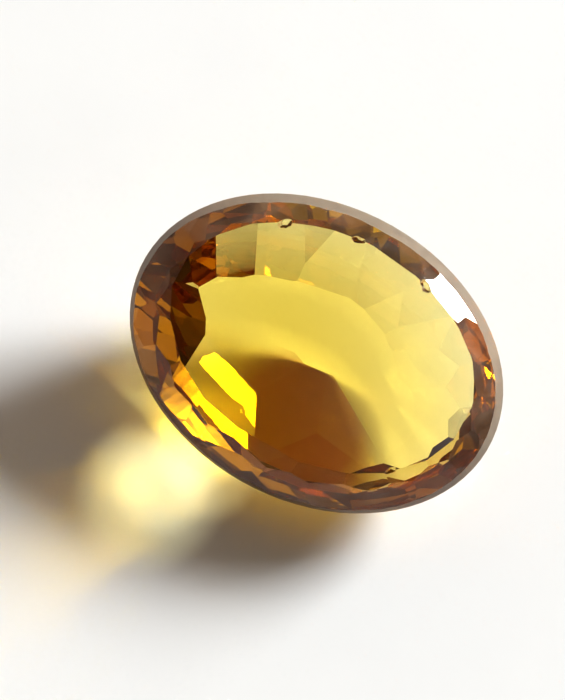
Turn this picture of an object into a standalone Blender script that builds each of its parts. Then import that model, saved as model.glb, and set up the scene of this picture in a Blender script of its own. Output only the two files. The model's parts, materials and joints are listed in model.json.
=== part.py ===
"""An oval faceted citrine, lying on one of its lower pavilion facets.

The stone is cut the way a lapidary cuts it: a rough block is ground by one flat plane for each facet.
It is cut with its table facing up (+Z) and its long axis along X, and is then laid down on one facet.
"""

import math
import random

import bmesh
import bpy
from mathutils import Matrix, Vector

MM = 0.001

# The girdle outline is an oval, and its two halves take the crown and the pavilion.
LENGTH = 16.0 * MM
WIDTH = 12.1 * MM
GIRDLE_THICKNESS = 0.40 * MM
GIRDLE_SIDES = 80

# Crown: the flat table on top, then stars, kites and halves, and the ground band above the girdle.
CROWN_HEIGHT = 1.30 * MM
CROWN_COUNT = 20
HALF_SLOPE = 41.0
KITE_SLOPE = 38.0
STAR_SLOPE = 24.0
STAR_INSET = 1.15 * MM
# The band is cut a little askew, so it is widest at WIDE_SIDE, given as a heading in degrees.
BAND_SLOPE = 60.0
BAND_WIDTH = 0.26 * MM
BAND_SWING = 0.16 * MM
WIDE_SIDE = 75.0

# Pavilion: three rings of facets under the girdle. The two outer rings are steepest towards
# FRONT_SIDE and the middle ring towards BACK_SIDE, each by its swing.
PAVILION_COUNT = 20
FRONT_SIDE = -115.0
BACK_SIDE = 140.0
BREAK_SLOPE = 52.0
BREAK_SWING = 5.0
SECOND_INSET = 0.60 * MM
SECOND_SLOPE = 45.0
SECOND_SWING = 6.0
MIDDLE_INSET = 1.80 * MM
MIDDLE_SLOPE = 35.0
MIDDLE_SWING = 6.0
# The low main facets meet along a short keel, a little off the middle of the stone.
KEEL_DEPTH = 3.90 * MM
KEEL_LEFT = Vector((-0.85 * MM, -0.38 * MM, -KEEL_DEPTH))
KEEL_RIGHT = Vector((1.00 * MM, -0.50 * MM, -KEEL_DEPTH))
# (heading, slope) in degrees of the mains at either end of the keel, and of the one along its back.
LEFT_MAINS = ((127.0, 12.0), (180.0, 12.0), (-127.0, 17.0))
RIGHT_MAINS = ((53.0, 12.0), (-28.0, 18.5), (-66.0, 22.0))
BACK_MAIN_SLOPE = 14.0
# The stone rests on the largest main, which runs from the keel's right end to the front.
RESTING_MAIN = (-80.0, 22.0)
# The middle ring is left out between these two turns, and three larger facets stand in for it:
# (x, y, heading, slope), each from the corner nearest the keel.
FRONT_START = 195
FRONT_END = 330
FRONT_FACETS = (
    (-4.09 * MM, -2.10 * MM, -146.0, 44.0),
    (-1.30 * MM, -2.80 * MM, -118.0, 33.0),
    (1.75 * MM, -2.90 * MM, -72.0, 26.0),
)

# No hand-cut facet is quite where its ring puts it.
UNEVEN_SLOPE = 1.5
UNEVEN_HEADING = 2.5
UNEVEN_HEIGHT = 0.02 * MM
SEED = 7


def facet(solid, point, heading, slope, downward=False):
    """Grinds one flat facet through a point, and returns the way it faces."""
    tilt = math.radians(slope)
    turn = math.radians(heading)
    rise = -math.cos(tilt) if downward else math.cos(tilt)
    normal = Vector((math.cos(turn) * math.sin(tilt), math.sin(turn) * math.sin(tilt), rise))
    everything = solid.verts[:] + solid.edges[:] + solid.faces[:]
    cut = bmesh.ops.bisect_plane(
        solid, geom=everything, dist=1e-7, plane_co=point, plane_no=normal, clear_outer=True
    )
    rim = [edge for edge in cut["geom_cut"] if isinstance(edge, bmesh.types.BMEdge)]
    if rim:
        bmesh.ops.contextual_create(solid, geom=rim)
    return normal


def on_oval(turn, inset=0.0):
    """The point of the girdle outline at a turn in degrees, moved inward, and the outline's heading there."""
    angle = math.radians(turn)
    outward = Vector((math.cos(angle) / LENGTH, math.sin(angle) / WIDTH)).normalized()
    x = LENGTH / 2 * math.cos(angle) - inset * outward.x
    y = WIDTH / 2 * math.sin(angle) - inset * outward.y
    return x, y, math.degrees(math.atan2(outward.y, outward.x))


def uneven_facet(solid, hand, point, heading, slope, downward=False):
    """Grinds one facet with the small errors of a hand cut."""
    point = point + Vector((0, 0, hand.uniform(-UNEVEN_HEIGHT, UNEVEN_HEIGHT)))
    heading += hand.uniform(-UNEVEN_HEADING, UNEVEN_HEADING)
    slope += hand.uniform(-UNEVEN_SLOPE, UNEVEN_SLOPE)
    facet(solid, point, heading, slope, downward)


def band_width(turn):
    heading = on_oval(turn)[2]
    return BAND_WIDTH + BAND_SWING * math.cos(math.radians(heading - WIDE_SIDE))


def cut_crown(solid, hand):
    top = GIRDLE_THICKNESS / 2
    step = 360 / CROWN_COUNT
    band_rise = math.tan(math.radians(BAND_SLOPE))
    kite_rise = math.tan(math.radians(KITE_SLOPE))
    facet(solid, Vector((0, 0, top + CROWN_HEIGHT)), 0.0, 0.0)
    for index in range(4 * CROWN_COUNT):
        x, y, heading = on_oval(index * step / 4)
        facet(solid, Vector((x, y, top)), heading, BAND_SLOPE)
    for index in range(2 * CROWN_COUNT):
        turn = (index + 0.5) * step / 2
        width = band_width(turn)
        x, y, heading = on_oval(turn, width)
        uneven_facet(solid, hand, Vector((x, y, top + width * band_rise)), heading, HALF_SLOPE)
    for index in range(CROWN_COUNT):
        turn = (index + 0.5) * step
        width = band_width(turn)
        x, y, heading = on_oval(turn, width)
        uneven_facet(solid, hand, Vector((x, y, top + width * band_rise)), heading, KITE_SLOPE)
    for index in range(CROWN_COUNT):
        turn = index * step
        width = band_width(turn)
        height = top + width * band_rise + (STAR_INSET - width) * kite_rise
        x, y, heading = on_oval(turn, STAR_INSET)
        uneven_facet(solid, hand, Vector((x, y, height)), heading, STAR_SLOPE)


def sided(slope, swing, heading, side):
    """A ring's slope at a heading, steepest towards one side of the stone."""
    return slope + swing * math.cos(math.radians(heading - side))


def rim_height(inset, heading):
    """The height of the two outer rings of the pavilion, this far in from the girdle."""
    break_slope = math.radians(sided(BREAK_SLOPE, BREAK_SWING, heading, FRONT_SIDE))
    second_slope = math.radians(sided(SECOND_SLOPE, SECOND_SWING, heading, FRONT_SIDE))
    drop = SECOND_INSET * math.tan(break_slope) + (inset - SECOND_INSET) * math.tan(second_slope)
    return -GIRDLE_THICKNESS / 2 - drop


def main_height(x, y, planes):
    """The height of the mains' surface over a point, from each main's point and normal."""
    return max(
        point.z - (normal.x * (x - point.x) + normal.y * (y - point.y)) / normal.z
        for point, normal in planes
    )


def cut_pavilion(solid, hand):
    """Grinds the pavilion, and returns the way its resting facet faces."""
    step = 360 / PAVILION_COUNT
    for index in range(2 * PAVILION_COUNT):
        x, y, heading = on_oval((index + 0.5) * step / 2)
        slope = sided(BREAK_SLOPE, BREAK_SWING, heading, FRONT_SIDE)
        uneven_facet(solid, hand, Vector((x, y, -GIRDLE_THICKNESS / 2)), heading, slope, downward=True)
    for index in range(PAVILION_COUNT):
        x, y, heading = on_oval((index + 0.5) * step, SECOND_INSET)
        slope = sided(SECOND_SLOPE, SECOND_SWING, heading, FRONT_SIDE)
        point = Vector((x, y, rim_height(SECOND_INSET, heading)))
        uneven_facet(solid, hand, point, heading, slope, downward=True)
    for index in range(PAVILION_COUNT):
        if FRONT_START < index * step < FRONT_END:
            continue
        x, y, heading = on_oval(index * step, MIDDLE_INSET)
        slope = sided(MIDDLE_SLOPE, MIDDLE_SWING, heading, BACK_SIDE)
        point = Vector((x, y, rim_height(MIDDLE_INSET, heading)))
        uneven_facet(solid, hand, point, heading, slope, downward=True)
    planes = []
    for end, mains in ((KEEL_LEFT, LEFT_MAINS), (KEEL_RIGHT, RIGHT_MAINS)):
        for heading, slope in mains:
            point = end + Vector((0, 0, hand.uniform(-UNEVEN_HEIGHT, UNEVEN_HEIGHT)))
            planes.append((point, facet(solid, point, heading, slope, downward=True)))
    keel = KEEL_RIGHT - KEEL_LEFT
    side = math.degrees(math.atan2(keel.y, keel.x)) + 90
    facet(solid, KEEL_LEFT, side, BACK_MAIN_SLOPE, downward=True)
    resting = facet(solid, KEEL_RIGHT, *RESTING_MAIN, downward=True)
    planes.append((KEEL_RIGHT, resting))
    for x, y, heading, slope in FRONT_FACETS:
        facet(solid, Vector((x, y, main_height(x, y, planes))), heading, slope, downward=True)
    return resting


def cut_stone():
    """The whole stone with its table up, and the way its resting facet faces."""
    hand = random.Random(SEED)
    solid = bmesh.new()
    bmesh.ops.create_cube(solid, size=2 * LENGTH)
    for index in range(GIRDLE_SIDES):
        x, y, heading = on_oval(index * 360 / GIRDLE_SIDES)
        facet(solid, Vector((x, y, 0)), heading, 90.0)
    cut_crown(solid, hand)
    resting = cut_pavilion(solid, hand)
    bmesh.ops.remove_doubles(solid, verts=solid.verts, dist=2e-6)
    bmesh.ops.recalc_face_normals(solid, faces=solid.faces)
    return solid, resting


def lay_down(solid, resting):
    """Turns the stone onto its resting facet, and puts the middle of its base at the origin."""
    tilt = resting.rotation_difference(Vector((0, 0, -1))).to_matrix().to_4x4()
    bmesh.ops.transform(solid, matrix=tilt, verts=solid.verts)
    low = Vector([min(vert.co[axis] for vert in solid.verts) for axis in range(3)])
    high = Vector([max(vert.co[axis] for vert in solid.verts) for axis in range(3)])
    shift = Matrix.Translation((-(low.x + high.x) / 2, -(low.y + high.y) / 2, -low.z))
    bmesh.ops.transform(solid, matrix=shift, verts=solid.verts)
    return tilt, shift


def citrine_material():
    material = bpy.data.materials.new("citrine")
    material.use_nodes = True
    shader = material.node_tree.nodes["Principled BSDF"]
    shader.inputs["Base Color"].default_value = (0.80, 0.48, 0.07, 1.0)
    shader.inputs["Roughness"].default_value = 0.02
    shader.inputs["Metallic"].default_value = 0.0
    shader.inputs["IOR"].default_value = 1.55
    shader.inputs["Transmission Weight"].default_value = 1.0
    return material


def main():
    for thing in list(bpy.data.objects):
        bpy.data.objects.remove(thing, do_unlink=True)
    solid, resting = cut_stone()
    lay_down(solid, resting)
    mesh = bpy.data.meshes.new("citrine_gem")
    solid.to_mesh(mesh)
    solid.free()
    gem = bpy.data.objects.new("citrine_gem", mesh)
    mesh.materials.append(citrine_material())
    bpy.context.scene.collection.objects.link(gem)


main()
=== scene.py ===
"""The looks of the oval citrine: a clear, worn, hand-cut stone lying on white paper by a window."""

import json
import math
import random

import bmesh
import bpy
from mathutils import Matrix, Vector


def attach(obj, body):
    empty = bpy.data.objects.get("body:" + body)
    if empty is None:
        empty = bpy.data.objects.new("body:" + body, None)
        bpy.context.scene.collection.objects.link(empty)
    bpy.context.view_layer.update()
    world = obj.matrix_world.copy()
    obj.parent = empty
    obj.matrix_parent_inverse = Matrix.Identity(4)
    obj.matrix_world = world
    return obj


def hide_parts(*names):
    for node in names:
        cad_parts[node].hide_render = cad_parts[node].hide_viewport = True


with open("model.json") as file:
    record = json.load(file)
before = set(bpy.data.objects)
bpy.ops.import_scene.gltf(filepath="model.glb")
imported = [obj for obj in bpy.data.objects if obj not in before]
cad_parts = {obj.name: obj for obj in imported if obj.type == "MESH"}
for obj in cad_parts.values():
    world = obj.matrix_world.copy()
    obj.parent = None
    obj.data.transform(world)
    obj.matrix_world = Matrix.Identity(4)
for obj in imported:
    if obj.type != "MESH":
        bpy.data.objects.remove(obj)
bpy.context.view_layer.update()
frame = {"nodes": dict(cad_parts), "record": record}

MM = 0.001
UP = Vector((0, 0, 1))

# Citrine is a yellow quartz. What it takes from red, green and blue light is per metre of stone.
IOR = 1.55
ABSORPTION = (28.0, 72.0, 430.0)

# The facets' edges are worn round by EDGE_WEAR. Edges under SHORTEST_EDGE are left out first, so the
# rounding has room, and corners under SMALLEST_GAP apart are joined afterwards.
EDGE_WEAR = 0.015 * MM
SHORTEST_EDGE = 0.04 * MM
SMALLEST_GAP = 0.001 * MM
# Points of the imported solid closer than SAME_POINT are one, and so are facets within SAME_PLANE degrees.
SAME_POINT = 0.0001 * MM
SAME_PLANE = 0.3
# Points beyond this share of the stone's half length are at one of its ends.
END_SHARE = 0.9999

# Slopes in degrees from the table of the ground band above the girdle and of the crown's facets.
# No two crown facets are worn alike.
GROUND_SLOPES = (54.0, 91.0)
CROWN_SLOPES = (12.0, 54.0)
CROWN_WEAR = (0.30, 1.0)
WEAR_SEED = 5

# Light through a polished, a scuffed and a ground surface takes these tints.
POLISHED_TINT = (1.0, 0.99, 0.97)
SCUFFED_TINT = (0.56, 0.36, 0.22)
GROUND_TINT = (0.31, 0.24, 0.165)
# Uneven finishes: features per metre, detail, stretch, the noise's low and high, and what they give.
# The first two are roughness, and the last two are how milky the surface is.
SMEARS = (900.0, 4.0, (1.0, 3.0, 1.0), 0.45, 0.75, 0.0, 0.02)
FROST = (5000.0, 2.0, (1.0, 1.0, 1.0), 0.3, 0.7, 0.28, 0.36)
SCUFFS = (700.0, 5.0, (1.0, 1.0, 1.0), 0.40, 0.66, 0.04, 0.22)
GRAIN = (2200.0, 3.0, (1.0, 1.0, 1.0), 0.35, 0.65, 0.50, 0.68)
# Surface relief: features per metre, detail, stretch, strength and height.
POLISH_RELIEF = (1400.0, 3.0, (1.0, 2.0, 1.0), 0.02, 0.01 * MM)
PAPER_RELIEF = (2500.0, 4.0, (1.0, 0.35, 1.0), 0.12, 0.02 * MM)

# Painted shadow: the resting facet and three beside it are tinted dark brown, which darkens the
# shadowed paper seen through them, as (heading and slope in degrees from the table, amount). A face
# is one of them when it faces within SAME_FACET degrees of it. The painted shadow fades out between two
# distances from its middle on the paper, which is given as (picture right, picture up) from the stone's
# middle.
PAINTED_SHADOW_FACETS = ((-80.0, 22.0, 0.9), (-127.0, 17.0, 0.9), (-72.0, 26.0, 1.0), (-66.0, 22.0, 0.85))
PAINTED_SHADOW_TINT = (0.55, 0.24, 0.30)
PAINTED_SHADOW_MIDDLE = (-0.9 * MM, -3.0 * MM)
PAINTED_SHADOW_FADE = (2.5 * MM, 3.8 * MM)
SAME_FACET = 1.5

# Chips along the table's edge: (heading in degrees on the table, size). CHIP_SHAPE is each one's
# share of its size outward, along the edge and up, and CHIP_UNEVEN is how lumpy it is.
CHIPS = (
    (144.0, 0.26 * MM),
    (107.0, 0.22 * MM),
    (57.0, 0.26 * MM),
    (-42.0, 0.20 * MM),
)
CHIP_SHAPE = (0.8, 1.3, 0.55)
CHIP_UNEVEN = 0.18
CHIP_SEED = 3

# The camera looks straight down on the table, with the long axis running down to the right.
CAMERA_DISTANCE = 150 * MM
CAMERA_TURN = 27.9
VIEW_WIDTH = 23.085 * MM
VIEW_OFFSET = (-1.385 * MM, 0.139 * MM)
SENSOR_WIDTH = 36.0
CAMERA_NEAR = 0.05 * CAMERA_DISTANCE

# A low window at the upper right lights the paper, and a dim warm room fills the shadows.
WINDOW_TURN = 32.0
WINDOW_RISE = 24.0
WINDOW_DISTANCE = 1.5
WINDOW_SIZE = (0.55, 0.42)
WINDOW_POWER = 51.0
WINDOW_COLOUR = (0.95, 1.0, 1.04)
ROOM_COLOUR = (1.0, 0.82, 0.66)
ROOM_LOW = 1.10
ROOM_OVERHEAD = 0.04
ROOM_FALL = 1.8
# A pale skylight over the table is mirrored in its right side. It is SKYLIGHT_TILT degrees off the
# table's own direction, towards the picture's right, and SKYLIGHT_FOCUS makes it narrow.
SKYLIGHT_COLOUR = (0.62, 0.85, 1.0)
SKYLIGHT_STRENGTH = 3.6
SKYLIGHT_TILT = 3.4
SKYLIGHT_FOCUS = 1800.0
# The stone throws a bright patch onto the paper. Small lamps over it help the window's own:
# (picture right, picture up) from the stone's middle, radius, colour and power.
THROWN_LIGHT = (
    ((-6.9 * MM, -5.9 * MM), 3.4 * MM, (1.0, 0.98, 0.62), 0.120),
    ((-6.4 * MM, -5.4 * MM), 2.4 * MM, (1.0, 0.98, 0.60), 0.090),
    ((-5.0 * MM, -3.9 * MM), 2.2 * MM, (1.0, 0.90, 0.40), 0.130),
    ((-4.4 * MM, -5.0 * MM), 2.2 * MM, (1.0, 0.92, 0.45), 0.090),
    ((-7.6 * MM, -4.6 * MM), 1.9 * MM, (1.0, 0.93, 0.45), 0.050),
)
LAMP_DISTANCE = 80 * MM
TONE_GAMMA = 0.85
LIGHT_BOUNCES = 24

PAPER_SIZE = 1.0
PAPER_GAP = 0.01 * MM
PAPER_TONES = ((0.83, 0.83, 0.82), (0.87, 0.87, 0.855))
PAPER_CLOUDS = (180.0, 4.0)
PAPER_ROUGHNESS = 0.9
PAPER_SHEEN = 0.1


class Stone:
    """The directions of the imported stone: the way its table faces, its long axis and its middle."""

    def __init__(self, node):
        mounts = {mount["name"]: mount for mount in frame["record"]["mounts"]}
        self.table = Vector(mounts["table"]["axis"]).normalized()
        lean = UP.rotation_difference(self.table)
        self.long = lean @ Vector((1, 0, 0))
        self.wide = lean @ Vector((0, 1, 0))
        self.points = [vert.co.copy() for vert in node.data.vertices]
        self.half_length, along = self.reach(self.long)
        across = self.reach(self.wide)[1]
        self.middle = self.long * along + self.wide * across
        self.middle += self.table * self.level_of_ends(along)

    def reach(self, axis):
        """Half of the stone's length along an axis, and where its middle is on it."""
        places = [point.dot(axis) for point in self.points]
        return (max(places) - min(places)) / 2, (max(places) + min(places)) / 2

    def level_of_ends(self, along):
        """The level, along the table's direction, of the girdle's middle at the stone's two ends."""
        ends = [
            point.dot(self.table)
            for point in self.points
            if abs(point.dot(self.long) - along) > END_SHARE * self.half_length
        ]
        return (min(ends) + max(ends)) / 2

    def direction(self, heading):
        """The unit direction of a heading in degrees, in the table's plane."""
        turn = math.radians(heading)
        return self.long * math.cos(turn) + self.wide * math.sin(turn)

    def facing(self, heading, slope):
        """The outward direction of a pavilion facet."""
        tilt = math.radians(slope)
        return self.direction(heading) * math.sin(tilt) - self.table * math.cos(tilt)

    def slope(self, normal):
        """The angle in degrees between a facet and the table."""
        return math.degrees(math.acos(max(-1.0, min(1.0, normal.dot(self.table)))))


def flat_facets(node):
    """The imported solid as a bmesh, with its triangles joined into whole facets again."""
    solid = bmesh.new()
    solid.from_mesh(node.data)
    bmesh.ops.remove_doubles(solid, verts=solid.verts, dist=SAME_POINT)
    bmesh.ops.dissolve_limit(
        solid, angle_limit=math.radians(SAME_PLANE), verts=solid.verts, edges=solid.edges
    )
    bmesh.ops.remove_doubles(solid, verts=solid.verts, dist=SHORTEST_EDGE)
    return solid


def wear_edges(solid):
    """Rounds every edge between two facets a little, as handling does."""
    bmesh.ops.bevel(
        solid,
        geom=solid.edges[:],
        offset=EDGE_WEAR,
        segments=2,
        profile=0.5,
        affect="EDGES",
        clamp_overlap=True,
    )
    bmesh.ops.dissolve_degenerate(solid, dist=SMALLEST_GAP, edges=solid.edges)


def table_edge(stone, solid, heading):
    """The point of the table's outline at a heading."""
    table = max(solid.faces, key=lambda face: face.calc_area() * face.normal.dot(stone.table))
    outward = stone.direction(heading)
    sideways = stone.table.cross(outward)
    middle = table.calc_center_median()
    best = None
    for loop in table.loops:
        start = loop.vert.co - middle
        end = loop.link_loop_next.vert.co - middle
        before = start.dot(sideways)
        after = end.dot(sideways)
        if before * after > 0 or before == after:
            continue
        place = start.lerp(end, before / (before - after))
        if place.dot(outward) > 0:
            best = middle + place
    return best


def chip_cutter(stone, place, heading, size, hand):
    """A small uneven lump that a chip's scoop is cut with."""
    lump = bmesh.new()
    bmesh.ops.create_icosphere(lump, subdivisions=2, radius=1.0)
    outward = stone.direction(heading)
    sideways = stone.table.cross(outward)
    axes = (outward, sideways, stone.table)
    for vert in lump.verts:
        lumpy = size * (1 + hand.uniform(-CHIP_UNEVEN, CHIP_UNEVEN))
        reach = [axis * part * share for axis, part, share in zip(axes, vert.co, CHIP_SHAPE)]
        vert.co = place + lumpy * (reach[0] + reach[1] + reach[2])
    mesh = bpy.data.meshes.new("chip")
    lump.to_mesh(mesh)
    lump.free()
    cutter = bpy.data.objects.new("chip", mesh)
    bpy.context.scene.collection.objects.link(cutter)
    return cutter


def knock_chips(stone, gem, places):
    """Takes the chips out of the table's edge."""
    hand = random.Random(CHIP_SEED)
    for (heading, size), place in zip(CHIPS, places):
        cutter = chip_cutter(stone, place, heading, size, hand)
        cut = gem.modifiers.new("chip", "BOOLEAN")
        cut.object = cutter
        cut.operation = "DIFFERENCE"
        cut.solver = "EXACT"
        depsgraph = bpy.context.evaluated_depsgraph_get()
        mesh = bpy.data.meshes.new_from_object(gem.evaluated_get(depsgraph))
        gem.modifiers.clear()
        gem.data = mesh
        bpy.data.objects.remove(cutter, do_unlink=True)


def clear_slivers(mesh):
    """Joins corners that the cuts have left almost on one another."""
    solid = bmesh.new()
    solid.from_mesh(mesh)
    bmesh.ops.remove_doubles(solid, verts=solid.verts, dist=SMALLEST_GAP)
    bmesh.ops.dissolve_degenerate(solid, dist=SMALLEST_GAP, edges=solid.edges)
    solid.to_mesh(mesh)
    solid.free()


def same_facet(normal, way):
    return math.degrees(normal.angle(way)) < SAME_FACET


def mark_surfaces(stone, mesh):
    """Writes which faces are ground, on the crown or tinted with painted shadow, for the material to read.
    """
    painted_shadow = [(stone.facing(heading, slope), amount) for heading, slope, amount in PAINTED_SHADOW_FACETS]
    normals = [face.normal.copy() for face in mesh.polygons]
    slopes = [stone.slope(normal) for normal in normals]
    hand = random.Random(WEAR_SEED)
    wear = [hand.uniform(*CROWN_WEAR) for _ in slopes]
    finishes = {
        "ground": [GROUND_SLOPES[0] < slope < GROUND_SLOPES[1] for slope in slopes],
        "crown": [
            worn * (CROWN_SLOPES[0] < slope < CROWN_SLOPES[1]) for worn, slope in zip(wear, slopes)
        ],
        "painted_shadow": [sum(amount * same_facet(normal, way) for way, amount in painted_shadow) for normal in normals],
    }
    for name, marks in finishes.items():
        values = mesh.attributes.new(name, "FLOAT", "FACE").data
        for index, mark in enumerate(marks):
            values[index].value = float(mark)


def worn_gem(stone, node):
    """The stone as it is seen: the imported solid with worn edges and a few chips."""
    solid = flat_facets(node)
    places = [table_edge(stone, solid, heading) for heading, _ in CHIPS]
    wear_edges(solid)
    mesh = bpy.data.meshes.new("cut_citrine")
    solid.to_mesh(mesh)
    solid.free()
    gem = bpy.data.objects.new("cut_citrine", mesh)
    bpy.context.scene.collection.objects.link(gem)
    knock_chips(stone, gem, places)
    clear_slivers(gem.data)
    gem.data.name = "cut_citrine_mesh"
    mark_surfaces(stone, gem.data)
    return gem


def new_material(name):
    material = bpy.data.materials.new(name)
    material.use_nodes = True
    return material, material.node_tree, material.node_tree.nodes["Principled BSDF"]


def noise(tree, scale, detail=2.0, stretch=(1.0, 1.0, 1.0)):
    """A noise texture over the object's own coordinates, with scale in features per metre."""
    place = tree.nodes.new("ShaderNodeTexCoord")
    mapping = tree.nodes.new("ShaderNodeMapping")
    mapping.inputs["Scale"].default_value = stretch
    texture = tree.nodes.new("ShaderNodeTexNoise")
    texture.inputs["Scale"].default_value = scale
    texture.inputs["Detail"].default_value = detail
    tree.links.new(place.outputs["Object"], mapping.inputs["Vector"])
    tree.links.new(mapping.outputs["Vector"], texture.inputs["Vector"])
    return texture.outputs["Fac"]


def spread(tree, value, low, high, to_low, to_high):
    """Maps a value from one range onto another, and keeps it inside."""
    node = tree.nodes.new("ShaderNodeMapRange")
    node.inputs["From Min"].default_value = low
    node.inputs["From Max"].default_value = high
    node.inputs["To Min"].default_value = to_low
    node.inputs["To Max"].default_value = to_high
    tree.links.new(value, node.inputs["Value"])
    return node.outputs["Result"]


def uneven(tree, scale, detail, stretch, low, high, least, most):
    """A finish that varies over the surface between two values."""
    return spread(tree, noise(tree, scale, detail, stretch), low, high, least, most)


def relief(tree, shader, scale, detail, stretch, strength, height):
    """Gives a surface a fine relief."""
    bump = tree.nodes.new("ShaderNodeBump")
    bump.inputs["Strength"].default_value = strength
    bump.inputs["Distance"].default_value = height
    tree.links.new(noise(tree, scale, detail, stretch), bump.inputs["Height"])
    tree.links.new(bump.outputs["Normal"], shader.inputs["Normal"])


def maths(tree, operation, first, second):
    node = tree.nodes.new("ShaderNodeMath")
    node.operation = operation
    for value, slot in zip((first, second), node.inputs):
        if isinstance(value, float):
            slot.default_value = value
        else:
            tree.links.new(value, slot)
    return node.outputs["Value"]


def attribute(tree, name):
    node = tree.nodes.new("ShaderNodeAttribute")
    node.attribute_name = name
    return node.outputs["Fac"]


def fading(tree, middle):
    """One near a point of the stone, and falling smoothly to nothing further off."""
    place = tree.nodes.new("ShaderNodeTexCoord")
    distance = tree.nodes.new("ShaderNodeVectorMath")
    distance.operation = "DISTANCE"
    distance.inputs[1].default_value = middle
    tree.links.new(place.outputs["Object"], distance.inputs[0])
    fade = spread(tree, distance.outputs["Value"], *PAINTED_SHADOW_FADE, 1.0, 0.0)
    fade.node.interpolation_type = "SMOOTHSTEP"
    return fade


def tinted(tree, colour, other, amount):
    """A colour that turns to another by an amount."""
    node = tree.nodes.new("ShaderNodeMix")
    node.data_type = "RGBA"
    tree.links.new(amount, node.inputs["Factor"])
    slots = [slot for slot in node.inputs if slot.type == "RGBA"]
    for value, slot in zip((colour, other), slots):
        if isinstance(value, tuple):
            slot.default_value = (*value, 1.0)
        else:
            tree.links.new(value, slot)
    return next(slot for slot in node.outputs if slot.type == "RGBA")


def citrine(stone):
    """Clear yellow quartz: polished facets with faint smears, a scuffed crown, a ground band, and painted
    shadow tinted into the facets it rests on.
    """
    material, tree, shader = new_material("citrine")
    shader.inputs["IOR"].default_value = IOR
    ground = attribute(tree, "ground")
    crown = attribute(tree, "crown")
    # Painted shadow: the resting facets are tinted dark brown near the stone's shadow on the paper, fading
    # out further off.
    painted_shadow = maths(tree, "MULTIPLY", attribute(tree, "painted_shadow"), fading(tree, on_paper(stone, *PAINTED_SHADOW_MIDDLE)))

    colour = tinted(tree, POLISHED_TINT, SCUFFED_TINT, crown)
    colour = tinted(tree, colour, GROUND_TINT, ground)
    colour = tinted(tree, colour, PAINTED_SHADOW_TINT, painted_shadow)
    tree.links.new(colour, shader.inputs["Base Color"])

    frosted = maths(tree, "MULTIPLY", ground, uneven(tree, *FROST))
    tree.links.new(maths(tree, "ADD", uneven(tree, *SMEARS), frosted), shader.inputs["Roughness"])

    scuffed = maths(tree, "MULTIPLY", crown, uneven(tree, *SCUFFS))
    haze = maths(tree, "ADD", scuffed, maths(tree, "MULTIPLY", ground, uneven(tree, *GRAIN)))
    tree.links.new(maths(tree, "SUBTRACT", 1.0, haze), shader.inputs["Transmission Weight"])
    relief(tree, shader, *POLISH_RELIEF)

    absorb = tree.nodes.new("ShaderNodeVolumeAbsorption")
    most = max(ABSORPTION)
    absorb.inputs["Density"].default_value = most
    absorb.inputs["Color"].default_value = (*(1 - taken / most for taken in ABSORPTION), 1.0)
    tree.links.new(absorb.outputs["Volume"], tree.nodes["Material Output"].inputs["Volume"])
    return material


def paper():
    """White writing paper, with fine fibres and the faintest unevenness."""
    material, tree, shader = new_material("paper")
    shader.inputs["Roughness"].default_value = PAPER_ROUGHNESS
    shader.inputs["Specular IOR Level"].default_value = PAPER_SHEEN
    tint = tree.nodes.new("ShaderNodeValToRGB")
    for stop, tone in zip(tint.color_ramp.elements, PAPER_TONES):
        stop.color = (*tone, 1.0)
    tree.links.new(noise(tree, *PAPER_CLOUDS), tint.inputs["Fac"])
    tree.links.new(tint.outputs["Color"], shader.inputs["Base Color"])
    relief(tree, shader, *PAPER_RELIEF)
    return material


def lay_paper():
    half = PAPER_SIZE / 2
    corners = [(-half, -half), (half, -half), (half, half), (-half, half)]
    mesh = bpy.data.meshes.new("paper")
    mesh.from_pydata([(x, y, -PAPER_GAP) for x, y in corners], [], [(0, 1, 2, 3)])
    mesh.materials.append(paper())
    sheet = bpy.data.objects.new("paper", mesh)
    bpy.context.scene.collection.objects.link(sheet)
    return sheet


def picture_axes(stone):
    """The picture's right and up, as directions of the table's plane."""
    return stone.direction(CAMERA_TURN), stone.direction(CAMERA_TURN + 90)


def on_paper(stone, across, along):
    """The point of the paper at a place in the picture, measured from the stone's middle."""
    right, up = picture_axes(stone)
    seen = stone.middle + right * across + up * along
    return seen - stone.table * (seen.z / stone.table.z)


def place_camera(stone):
    right, up = picture_axes(stone)
    data = bpy.data.cameras.new("camera")
    data.sensor_fit = "HORIZONTAL"
    data.sensor_width = SENSOR_WIDTH
    data.lens = SENSOR_WIDTH * CAMERA_DISTANCE / VIEW_WIDTH
    data.clip_start = CAMERA_NEAR
    camera = bpy.data.objects.new("camera", data)
    bpy.context.scene.collection.objects.link(camera)
    target = stone.middle + right * VIEW_OFFSET[0] + up * VIEW_OFFSET[1]
    turn = Matrix((right, up, stone.table)).transposed().to_4x4()
    camera.matrix_world = Matrix.Translation(target + stone.table * CAMERA_DISTANCE) @ turn
    bpy.context.scene.camera = camera


def light_window(stone):
    """The window is placed by its turn from the picture's right, along the ground."""
    right = picture_axes(stone)[0]
    across = (right - UP * right.z).normalized()
    away = UP.cross(across)
    turn = math.radians(WINDOW_TURN)
    rise = math.radians(WINDOW_RISE)
    toward = (across * math.cos(turn) + away * math.sin(turn)) * math.cos(rise) + UP * math.sin(rise)
    data = bpy.data.lights.new("window", "AREA")
    data.shape = "RECTANGLE"
    data.size, data.size_y = WINDOW_SIZE
    data.energy = WINDOW_POWER
    data.color = WINDOW_COLOUR
    window = bpy.data.objects.new("window", data)
    window.location = toward * WINDOW_DISTANCE
    window.rotation_euler = toward.to_track_quat("Z", "Y").to_euler()
    bpy.context.scene.collection.objects.link(window)


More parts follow.
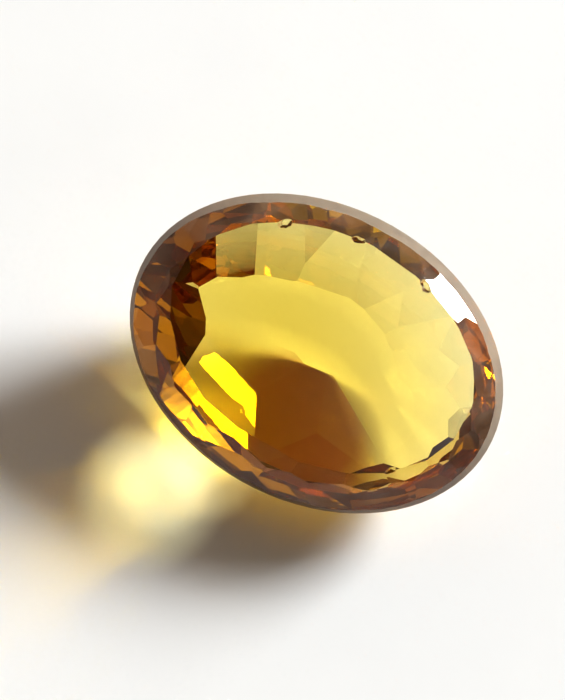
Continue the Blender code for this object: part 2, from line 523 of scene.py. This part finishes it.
def light_patch(stone, sheet):
    """Small lamps over the bright patch that the stone throws onto the paper. They light only it."""
    lit = bpy.data.collections.new("lit_by_the_stone")
    lit.objects.link(sheet)
    for place, radius, colour, power in THROWN_LIGHT:
        data = bpy.data.lights.new("thrown_light", "SPOT")
        data.spot_size = 2 * math.atan(radius / LAMP_DISTANCE)
        data.spot_blend = 1.0
        data.shadow_soft_size = 0.0
        data.color = colour
        data.energy = power
        lamp = bpy.data.objects.new("thrown_light", data)
        lamp.location = on_paper(stone, *place) + stone.table * LAMP_DISTANCE
        lamp.rotation_euler = stone.table.to_track_quat("Z", "Y").to_euler()
        lamp.light_linking.receiver_collection = lit
        bpy.context.scene.collection.objects.link(lamp)


def nearness(tree, way):
    """How near a direction the room is looked at in: one straight along it, and less to the sides."""
    place = tree.nodes.new("ShaderNodeTexCoord")
    near = tree.nodes.new("ShaderNodeVectorMath")
    near.operation = "DOT_PRODUCT"
    near.inputs[1].default_value = way
    tree.links.new(place.outputs["Generated"], near.inputs[0])
    return near.outputs["Value"]


def glow(tree, colour, strength):
    """Light of a colour from all round, as strong as the value that is linked to it."""
    node = tree.nodes.new("ShaderNodeBackground")
    node.inputs["Color"].default_value = (*colour, 1.0)
    tree.links.new(strength, node.inputs["Strength"])
    return node.outputs["Background"]


def light_room(stone):
    """A room that is dark over the table and pale low down, all round, and a skylight."""
    world = bpy.data.worlds.new("room")
    world.use_nodes = True
    tree = world.node_tree
    low = maths(tree, "SUBTRACT", 1.0, nearness(tree, stone.table))
    low.node.use_clamp = True
    fall = maths(tree, "POWER", low, ROOM_FALL)
    room = glow(tree, ROOM_COLOUR, spread(tree, fall, 0.0, 1.0, ROOM_OVERHEAD, ROOM_LOW))

    tilt = math.radians(SKYLIGHT_TILT)
    toward = stone.table * math.cos(tilt) + picture_axes(stone)[0] * math.sin(tilt)
    above = maths(tree, "MAXIMUM", nearness(tree, toward), 0.0)
    focused = maths(tree, "POWER", above, SKYLIGHT_FOCUS)
    skylight = glow(tree, SKYLIGHT_COLOUR, maths(tree, "MULTIPLY", focused, SKYLIGHT_STRENGTH))

    both = tree.nodes.new("ShaderNodeAddShader")
    for light, slot in zip((room, skylight), both.inputs):
        tree.links.new(light, slot)
    tree.links.new(both.outputs["Shader"], tree.nodes["World Output"].inputs["Surface"])
    bpy.context.scene.world = world


def set_tone_and_light_paths():
    """Plain tones, and light paths long enough for a stone that light crosses many times."""
    scene = bpy.context.scene
    scene.view_settings.view_transform = "Standard"
    scene.view_settings.gamma = TONE_GAMMA
    scene.cycles.max_bounces = LIGHT_BOUNCES
    scene.cycles.transmission_bounces = LIGHT_BOUNCES
    scene.cycles.glossy_bounces = LIGHT_BOUNCES
    scene.cycles.blur_glossy = 0.0
    scene.cycles.sample_clamp_indirect = 0.0
    scene.cycles.caustics_reflective = True
    scene.cycles.caustics_refractive = True


def main():
    node = frame["nodes"]["citrine_gem"]
    stone = Stone(node)
    gem = worn_gem(stone, node)
    gem.data.materials.clear()
    gem.data.materials.append(citrine(stone))
    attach(gem, "root")
    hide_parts("citrine_gem")
    sheet = lay_paper()
    place_camera(stone)
    light_window(stone)
    light_patch(stone, sheet)
    light_room(stone)
    set_tone_and_light_paths()


main()
